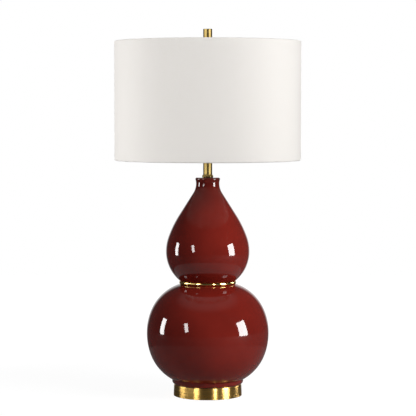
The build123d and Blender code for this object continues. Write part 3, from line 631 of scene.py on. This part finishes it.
def makeLowerBulb():
    d = lowerBulb
    low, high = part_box("lower_bulb")
    foot, seat, belly = low.z, high.z, (high.x, low.z + d["bellyRise"])
    floor = foot + d["recessDepth"] + d["floor"]
    tuck = secondCentre(belly, d["skirtArc"], d["skirtTurn"], d["tuckArc"])
    crown = secondCentre(belly, d["shoulderArc"], d["shoulderTurn"], d["crownArc"])
    skirt, shoulder = (belly[0] - d["skirtArc"], belly[1]), (belly[0] - d["shoulderArc"], belly[1])
    tuckStop = -math.degrees(math.acos((d["footRadius"] - tuck[0]) / d["tuckArc"]))

    def side(inset, bottom, top, steps):
        return (arc(tuck, d["tuckArc"] - inset, bottom, d["skirtTurn"], 2 * steps)
                + arc(skirt, d["skirtArc"] - inset, d["skirtTurn"], 0, steps)[1:]
                + arc(shoulder, d["shoulderArc"] - inset, 0, d["shoulderTurn"], steps)[1:]
                + arc(crown, d["crownArc"] - inset, d["shoulderTurn"], top, 2 * steps)[1:])

    flat = (d["footRadius"] - d["footRounding"], foot + d["footRounding"])
    sole = refined([(d["rodHole"], foot + d["recessDepth"]), (d["recessRadius"], foot + d["recessDepth"]),
                    (d["recessRadius"] + d["recessDepth"], foot), (flat[0], foot)], d["step"], closed=False)
    outside = (arc(flat, d["footRounding"], -90, 0, 10)[1:]
               + side(0, tuckStop, angleAt(crown, d["crownArc"], seat), 18))
    inner = d["crownArc"] - d["wall"]
    mouthStop = math.degrees(math.acos((d["mouthRadius"] - crown[0]) / inner))
    inside = side(d["wall"], angleAt(tuck, d["tuckArc"] - d["wall"], floor), mouthStop, 8)[::-1]
    points = sole + outside + [(d["mouthRadius"], seat)] + inside + [(d["rodHole"], floor)]
    bare = [1.0] * len(sole) + [0.0] * len(outside) + [1.0] * (len(inside) + 2)
    piece = turned("lowerBulbGlazed", points, d["sides"], finishes["oxblood_glaze"], bare)
    return dress(piece, "stand", "oxblood_glaze", "lower_bulb")


upperBulb = {"bellyRise": 0.0674, "underArc": 0.0884, "overArc": 0.1017, "overTurn": 19.8,
             "shoulderArc": 0.2497, "shoulderTurn": 12.8, "cone": 0.0608, "throatArc": 0.0414,
             "flareArc": 0.025, "flareTurn": 20.0, "lipRounding": 0.0036, "wall": 0.005, "topWall": 0.006,
             "rodHole": 0.0065, "sides": 256}


def makeUpperBulb():
    d = upperBulb
    low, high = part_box("upper_bulb")
    belly = (high.x, low.z + d["bellyRise"])
    under = (belly[0] - d["underArc"], belly[1])

    def side(inset, steps):
        turn = d["overTurn"] + d["shoulderTurn"]
        return [(d["overArc"] - inset, d["overTurn"], steps),
                (d["shoulderArc"] - inset, d["shoulderTurn"], steps)] + [(d["cone"] / 3,)] * 3 + [
                (d["throatArc"] + inset, -turn, steps)]

    def underArc(inset, steps):
        radius = d["underArc"] - inset
        return arc(under, radius, angleAt(under, radius, low.z), 0, steps)

    lip = [(d["flareArc"], -d["flareTurn"], 8), (d["lipRounding"], 90 + d["flareTurn"], 12)]
    outside = underArc(0, 30) + smoothLine(belly, 90, side(0, 20) + lip)[1:]
    insideTop = smoothLine((belly[0] - d["wall"], belly[1]), 90, side(d["wall"], 10))
    inside = insideTop[::-1] + underArc(d["wall"], 14)[:-1][::-1]
    ceiling = high.z - d["topWall"]
    lid = [(d["rodHole"], high.z), (d["rodHole"], ceiling), (insideTop[-1][0], ceiling)]
    points = outside + lid + inside
    bare = [0.0] * (len(outside) + 1) + [1.0] * (len(inside) + 2)
    piece = turned("upperBulbGlazed", points, d["sides"], finishes["oxblood_glaze"], bare)
    return dress(piece, "stand", "oxblood_glaze", "upper_bulb")


makeLowerBulb()
makeUpperBulb()
print("ceramic bulbs turned")


waistRing = {"lowerSpigot": 0.0537, "bore": 0.049, "spigot": 0.003, "chamfer": 0.0004, "sides": 256}


def makeWaistRing():
    d = waistRing
    low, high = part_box("waist_ring")
    upperLow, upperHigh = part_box("upper_bulb")
    bottom, top = low.z + d["spigot"], high.z - d["spigot"]
    bead = (top - bottom) / 2
    centre = (high.x - bead, bottom + bead)
    inner = upperBulb["underArc"] - upperBulb["wall"]
    reach = upperHigh.x - upperBulb["underArc"] + math.sqrt(inner ** 2 - upperBulb["bellyRise"] ** 2)
    upperSpigot = reach - 0.0003
    corners = [(upperSpigot, top), (upperSpigot, high.z), (d["bore"], high.z), (d["bore"], low.z),
               (d["lowerSpigot"], low.z), (d["lowerSpigot"], bottom)]
    points = arc(centre, bead, -90, 90, 32) + rounded(corners, [0] + [d["chamfer"]] * 4 + [0], 3)
    piece = turned("waistRingTurned", points, d["sides"], finishes["brass"])
    return dress(piece, "stand", "brass", "waist_ring")


baseCup = {"topRadius": 0.0782, "wall": 0.0012, "rounding": 0.0015, "bore": 0.0053, "sides": 288,
           "step": 0.012, "inletHeight": 0.0086, "inletHole": 0.00502}


def makeBaseCup():
    d = baseCup
    low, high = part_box("base_cup")
    under, wall = high.z - d["wall"], d["wall"]
    corners = [(high.x, low.z), (d["topRadius"], high.z), (d["bore"], high.z), (d["bore"], under),
               (d["topRadius"] - wall, under), (high.x - wall, low.z)]
    radii = [wall / 2, d["rounding"] + wall / 2, 0, 0, d["rounding"], 0.0002]
    hole = cutter((0, high.x, d["inletHeight"]), (0, 1, 0), d["inletHole"], 8 * wall)
    points = refined(rounded(corners, radii, 8), d["step"])
    piece = turned("baseCupSpun", points, d["sides"], finishes["spun_brass"], cutters=[hole])
    return dress(piece, "stand", "brass", "base_cup")


neckPieces = {
    "collar": {"bore": 0.0053, "seat": 0.01055, "seatDepth": 0.0025, "taper": 0.0011, "rounding": 0.0006},
    "tube": {"wall": 0.001, "chamfer": 0.0002, "step": 0.006},
    "checkRing": {"bore": 0.0053, "seat": 0.01055, "seatDepth": 0.002, "rounding": 0.0006},
    "finial": {"bore": 0.00322, "depth": 0.0145, "rounding": 0.0007, "step": 0.006},
    "sides": 128,
}


def makeNeck():
    d, brass = neckPieces["collar"], finishes["satin_brass"]
    low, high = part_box("neck_collar")
    floor, middle = high.z - d["seatDepth"], (low.z + high.z) / 2
    corners = [(high.x, low.z), (high.x, middle), (high.x - d["taper"], high.z), (d["seat"], high.z),
               (d["seat"], floor), (d["bore"], floor), (d["bore"], low.z)]
    points = rounded(corners, [d["rounding"]] * 3 + [0.0001, 0, 0, 0])
    dress(turned("neckCollarTurned", points, neckPieces["sides"], brass), "stand", "brass", "neck_collar")

    d = neckPieces["tube"]
    low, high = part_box("neck_tube")
    corners = [(high.x, low.z), (high.x, high.z), (high.x - d["wall"], high.z), (high.x - d["wall"], low.z)]
    points = refined(rounded(corners, [d["chamfer"]] * 4, 3), d["step"])
    dress(turned("neckTubeDrawn", points, neckPieces["sides"], brass), "stand", "brass", "neck_tube")

    d = neckPieces["checkRing"]
    low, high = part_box("check_ring")
    tubeTop = low.z + d["seatDepth"]
    corners = [(d["seat"], low.z), (high.x, low.z), (high.x, high.z), (d["bore"], high.z),
               (d["bore"], tubeTop), (d["seat"], tubeTop)]
    points = rounded(corners, [0.0001, d["rounding"], 2 * d["rounding"], 0, 0, 0])
    dress(turned("checkRingTurned", points, neckPieces["sides"], brass), "stand", "brass", "check_ring")


def makeFinial():
    d = neckPieces["finial"]
    low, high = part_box("finial")
    corners = [(0, low.z + d["depth"]), (d["bore"], low.z + d["depth"]), (d["bore"], low.z), (high.x, low.z),
               (high.x, high.z), (0, high.z)]
    points = rounded(corners, [0, 0, 0, d["rounding"], d["rounding"], 0], 8)
    points = refined(points, d["step"], closed=False)
    piece = turned("finialTurned", points, neckPieces["sides"], finishes["satin_brass"])
    return dress(piece, "finial", "brass", "finial")


makeWaistRing()
makeBaseCup()
makeNeck()
makeFinial()
print("brass turned")


felt = {"edge": 0.0007, "flat": 0.1556, "sides": 192, "step": 0.012}


def makeFelt():
    low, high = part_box("felt_pad")
    corners = [(0, low.z), (high.x, low.z), (high.x, high.z), (0, high.z)]
    points = refined(rounded(corners, [0, felt["edge"], felt["edge"], 0]), felt["step"], closed=False)
    piece = dress(turned("feltPadSoft", points, felt["sides"], finishes["felt"]), "stand", "felt", "felt_pad")


makeFelt()
print("felt cut")


# the shade's cloth, rolled over both ring wires in hems, with a notch for each arm of the spider
shadeCloth = {"fabric": 0.0007, "wire": 0.0015, "hemFit": 0.0005, "hemWrap": 200.0, "tail": 0.008,
              "sides": 300, "step": 0.012, "notchFit": 0.0003, "lap": 0.012}


def makeShade():
    d = shadeCloth
    low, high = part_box("shade_cover")
    inset = d["fabric"] + d["hemFit"] + d["wire"]
    radius, inner = high.x, inset - d["fabric"]
    wires = {1: (radius - inset, high.z - inset), -1: (radius - inset, low.z + inset)}

    def hem(up):
        # out over the wire, along the tail, and back on the inside
        wrap = math.radians(up * d["hemWrap"])
        tail = Vector((-math.sin(wrap), math.cos(wrap))) * (up * d["tail"])
        out = arc(wires[up], inset, 0, up * d["hemWrap"], 22)
        back = arc(wires[up], inner, up * d["hemWrap"], 0, 22)
        ends = [tuple(Vector(side) + tail) for side in (out[-1], back[0])]
        return out + ends + back

    wall = refined([(radius, wires[-1][1]), (radius, wires[1][1])], d["step"], closed=False)
    lining = [(r - d["fabric"], z) for r, z in reversed(wall)]
    points = wall[:-1] + hem(1) + lining[1:-1] + hem(-1)[::-1][:-1]
    arms = [math.radians(90 + i * 360 / spider["arms"]) for i in range(spider["arms"])]
    reach, width = radius - 2 * inset, spider["wire"] + d["notchFit"]
    notches = [cutter((reach * math.cos(a), reach * math.sin(a), wires[1][1]),
                      (math.cos(a), math.sin(a), 0), width, 2 * inset) for a in arms]
    piece = turned("shadeCloth", points, d["sides"], finishes["linen"], cutters=notches, crease=50)
    dress(piece, "shade", "linen", "shade_cover")


spider = {"arms": 3, "wire": 0.0015, "bend": 0.008, "riseLength": 0.016, "endLength": 0.008, "start": 0.0087,
          "hubAboveHarp": 0.00175, "hubHeight": 0.0016, "hubRadius": 0.011, "hubBore": 0.00322,
          "rounding": 0.0004, "weld": 0.0006, "hubSides": 64}


def makeSpider():
    d = spider
    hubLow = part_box("harp")[1].z + d["hubAboveHarp"]
    hubHigh = hubLow + d["hubHeight"]
    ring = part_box("shade_top_ring")
    end = ring[1].x - 2 * d["wire"] + d["weld"]
    wireLevel, hubLevel = (ring[0].z + ring[1].z) / 2, (hubLow + hubHigh) / 2
    slope = end - d["weld"] - d["endLength"]
    route = [(d["start"], 0, hubLevel), (slope - d["riseLength"], 0, hubLevel), (slope, 0, wireLevel),
             (end, 0, wireLevel)]
    mesh = bpy.data.meshes.new("arm")
    mesh.from_pydata(route, [(0, 1), (1, 2), (2, 3)], [])
    live = startPiece("arms", mesh)
    setInputs(live, spokeTree, {"Count": d["arms"], "Wire": d["wire"], "Bend": d["bend"],
                                "First": math.pi / 2, "Finish": finishes["white_wire"]})
    arms = finished("arms", live, 35)
    outer, bore = d["hubRadius"], d["hubBore"]
    corners = [(outer, hubLow), (outer, hubHigh), (bore, hubHigh), (bore, hubLow)]
    points = rounded(corners, [d["rounding"], d["rounding"], 0, 0])
    hub = turned("hub", points, d["hubSides"], finishes["white_wire"])
    return dress(joined("spiderWelded", [arms, hub]), "shade", "white_wire", "spider")


def joined(name, pieces):
    shape = bmesh.new()
    for piece in pieces:
        shape.from_mesh(piece.data)
    mesh = pieces[0].data.copy()
    shape.to_mesh(mesh)
    for piece in pieces:
        bpy.data.objects.remove(piece)
    return startPiece(name, mesh)


makeShade()
makeSpider()
print("shade made")


# the light bulb's cap, with its thread from "low" above the bottom to "high" below the top
bulbCap = {"metal": 0.0004, "pitch": 0.0036, "depth": 0.0009, "low": 0.0012, "high": 0.0052, "fade": 0.0012,
           "rounding": 0.00015, "step": 0.00035, "sides": 96}


def makeBulbCap():
    d = bulbCap
    low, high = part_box("bulb_cap")
    corners = [(high.x, low.z), (high.x, high.z), (high.x - d["metal"], high.z), (high.x - d["metal"], low.z)]
    points = refined(rounded(corners, [d["rounding"]] * 4, 2), d["step"])
    thread = {"Pitch": d["pitch"], "Depth": d["depth"], "Low": low.z + d["low"], "High": high.z - d["high"],
              "Fade": d["fade"]}
    piece = turned("bulbCapThreaded", points, d["sides"], finishes["aluminium"], thread=thread)
    return dress(piece, "bulb", "aluminium", "bulb_cap")


makeBulbCap()
print("bulb cap threaded")


def dressNodes():
    # the finishes of the CAD nodes, which keep their shapes
    slots = {row["node"]: row["material_slot"] for row in frame["record"]["subparts"]}
    for name in frame["nodes"]:
        node = bpy.data.objects[name]
        node.data.materials.clear()
        node.data.materials.append(finishes[slots[name]])


dressNodes()
print("all nodes finished")


# the floor's sizes; how pale it is to the eye, to other light and to gloss; how it fades into the backdrop
# far out; and the room round it: its even fill, and in gloss its front, its ceiling and where that starts
studio = {
    "floorRadius": 3.0, "floorSides": 96, "floorGap": 0.0002, "floorHole": 0.0774,
    "pale": 0.92, "bounce": 0.47, "glossBounce": 0.16, "floorGlow": 0.86, "white": 1.09,
    "fadeFrom": 0.5, "fadeTo": 1.3, "backdropFrom": 0.87, "backdropTo": 0.99,
    "ambient": 0.30, "front": 0.06, "above": 0.34, "ceilingFrom": 0.70, "ceilingTo": 0.92,
}


def seenRays(tree):
    rays = addNode(tree, "ShaderNodeLightPath").outputs
    seen = maths(tree, "ADD", rays["Is Camera Ray"], rays["Is Transmission Ray"], clamp=True)
    return seen, rays["Is Glossy Ray"]


def makeFloor():
    # looks pale and keeps a soft shadow, while gloss near the lamp finds it dim
    made, tree, shader, place = startMaterial("floorPaint", Roughness=0.9, Specular_IOR_Level=0.1)
    seen, glossy = seenRays(tree)
    pale = studio["pale"]
    plain = blend(tree, noise(tree, place, 3.0), (pale * 0.99,) * 3, (pale,) * 3)
    unseen = blend(tree, glossy, (studio["bounce"],) * 3, (studio["glossBounce"],) * 3)
    tree.links.new(blend(tree, seen, unseen, plain), shader.inputs["Base Color"])
    x, y = parts(tree, place)[:2]
    away = distanceFromAxis(tree, x, y)
    far = ramp(tree, away, studio["fadeFrom"], studio["fadeTo"])
    glowing = ramp(tree, away, studio["fadeFrom"], studio["fadeTo"], studio["floorGlow"], 1.0)
    behind = ramp(tree, maths(tree, "DIVIDE", y, away), studio["backdropFrom"], studio["backdropTo"])
    share = maths(tree, "ADD", maths(tree, "MULTIPLY", seen, glowing),
                  maths(tree, "MULTIPLY", glossy, maths(tree, "MULTIPLY", far, behind)), clamp=True)
    glow = addNode(tree, "ShaderNodeEmission", {"Color": (1, 1, 1, 1), "Strength": studio["white"]})
    mix = addNode(tree, "ShaderNodeMixShader", {0: share, 1: shader.outputs[0], 2: glow.outputs[0]})
    under = addNode(tree, "ShaderNodeNewGeometry").outputs["Backfacing"]  # from below, the floor is clear
    clear = addNode(tree, "ShaderNodeBsdfTransparent").outputs[0]
    mix = addNode(tree, "ShaderNodeMixShader", {0: under, 1: mix.outputs[0], 2: clear})
    tree.links.new(mix.outputs[0], tree.nodes["Material Output"].inputs["Surface"])
    shape, level = bmesh.new(), Matrix.Translation((0, 0, -studio["floorGap"]))
    for radius in (studio["floorRadius"], studio["floorHole"]):  # the hole shows the felt from below
        bmesh.ops.create_circle(shape, segments=studio["floorSides"], radius=radius, matrix=level)
    bmesh.ops.bridge_loops(shape, edges=shape.edges[:])
    shape.normal_update()
    bmesh.ops.reverse_faces(shape, faces=[face for face in shape.faces if face.normal.z < 0])
    mesh = bpy.data.meshes.new("floor")
    shape.to_mesh(mesh)
    mesh.materials.append(made)
    startPiece("floor", mesh)


def makeWorld():
    # white where the eye looks past the lamp; in gloss, a white backdrop behind, a dim room in front
    # and a paler ceiling; for everything else an even fill
    world = bpy.data.worlds.new("studio")
    scene.world = world
    world.use_nodes = True
    tree = world.node_tree
    direction = parts(tree, addNode(tree, "ShaderNodeTexCoord").outputs["Generated"])
    room = ramp(tree, direction[2], studio["ceilingFrom"], studio["ceilingTo"],
                studio["front"], studio["above"])
    backdrop = ramp(tree, direction[1], studio["backdropFrom"], studio["backdropTo"])
    shiny = addNode(tree, "ShaderNodeMix", {0: backdrop, 2: room, 3: 1.0}).outputs[0]
    seen, glossy = seenRays(tree)
    shown = addNode(tree, "ShaderNodeMix", {0: glossy, 2: studio["ambient"], 3: shiny}).outputs[0]
    shown = addNode(tree, "ShaderNodeMix", {0: seen, 2: shown, 3: 1.0}).outputs[0]
    background = tree.nodes["Background"]
    background.inputs["Color"].default_value = (1, 1, 1, 1)
    tree.links.new(shown, background.inputs["Strength"])


# each lamp: turn from the front (right is +), rise in degrees, distance, width, height, slant, brightness
# keyLight and shadeFill light the colours, and the others only the gloss: those named Shine on all but
# the brass, those named brass on the base and the ring, and those named trim on the neck and the finial
lampAim = (0, 0, 0.33)
lamps = {
    "keyLight": (54, 24, 2.6, 1.2, 1.2, 0, 11.6),
    "shadeFill": (-71, 10, 2.6, 1.4, 1.2, 0, 10.3),
    "rightShine": (68.2, 1.1, 2.4, 0.76, 1.38, 8, 21.0),
    "leftShine": (-93, 3, 2.4, 0.44, 1.0, 0, 17.0),
    "middleShine": (-40.5, 9.5, 2.4, 0.28, 0.72, 16, 15.0),
    "brassFarLeft": (-98, 21, 2.4, 0.88, 1.4, 0, 9.0),
    "brassLeftWall": (-68, 21, 2.4, 1.1, 1.4, 0, 1.5),
    "brassLeft": (-40, 21, 2.4, 0.60, 1.4, 0, 13.0),
    "brassFront": (26.5, 21, 2.4, 0.22, 1.4, 0, 40.0),
    "brassRight": (68, 21, 2.4, 0.74, 1.4, 0, 34.0),
    "brassRim": (124, 21, 2.4, 0.6, 1.4, 0, 10.0),
    "trimLeft": (-56, 12, 2.5, 3.6, 1.3, 0, 1.25),
    "trimRight": (56, 12, 2.5, 2.4, 1.3, 0, 1.7),
}
shadePieces = ["shadeCloth", "shade_liner"]
brassPieces = ["waistRingTurned", "baseCupSpun"]
trimPieces = ["neckTubeDrawn", "checkRingTurned", "finialTurned"]
# a pale patch of the table, as one bulb mirrors it: the bulb, the distance across and the brightness
tableShine = [("lowerBulbGlazed", 0.6, 0.08), ("lowerBulbGlazed", 1.0, 0.08),
              ("upperBulbGlazed", 1.0, 0.22), ("upperBulbGlazed", 1.3, 0.20)]
tableShineLevel = 0.002


def litPieces(name, members, state):
    group = bpy.data.collections.new(name)
    for member in members:
        group.objects.link(bpy.data.objects[member])
    for row in group.collection_objects:
        row.light_linking.link_state = state
    return group


def addLamp(name, shape, size, brightness, receivers, onColor):
    # an area lamp that lights the colours or only the gloss, on all pieces or on the given ones
    lamp = bpy.data.lights.new(name, "AREA")
    lamp.shape, lamp.size, lamp.size_y = shape, *size
    area = size[0] * size[1] * (math.pi / 4 if shape == "DISK" else 1)
    lamp.energy = brightness * math.pi * area
    holder = bpy.data.objects.new(name, lamp)
    holder.visible_camera = False
    holder.visible_diffuse, holder.visible_glossy = onColor, not onColor
    holder.light_linking.receiver_collection = receivers
    scene.collection.objects.link(holder)
    return holder


def makeLamps():
    for bulb, across, brightness in tableShine:
        only = litPieces(bulb + "Only", [bulb], "INCLUDE")
        patch = addLamp("table" + bulb, "DISK", (across, across), brightness, only, False)
        patch.location, patch.rotation_euler = (0, 0, tableShineLevel), (math.pi, 0, 0)
    groups = {"Shine": litPieces("allButBrass", brassPieces + trimPieces + ["neckCollarTurned"], "EXCLUDE"),
              "shade": litPieces("shadeOnly", shadePieces, "INCLUDE"),
              "brass": litPieces("brassOnly", brassPieces, "INCLUDE"),
              "trim": litPieces("trimOnly", trimPieces, "INCLUDE")}
    for name, (turn, rise, distance, width, height, slant, brightness) in lamps.items():
        only = next((group for word, group in groups.items() if word in name), None)
        onColor = name in ("keyLight", "shadeFill")
        lamp = addLamp(name, "RECTANGLE", (width, height), brightness, only, onColor)
        turn, rise = math.radians(turn), math.radians(rise)
        way = Vector((math.sin(turn) * math.cos(rise), -math.cos(turn) * math.cos(rise), math.sin(rise)))
        lamp.location = Vector(lampAim) + way * distance
        aim = way.to_track_quat("Z", "Y").to_matrix().to_4x4()
        lamp.rotation_euler = (aim @ Matrix.Rotation(math.radians(slant), 4, "Z")).to_euler()


makeFloor()
makeWorld()
makeLamps()
print("studio lit:", len(lamps), "lamps")
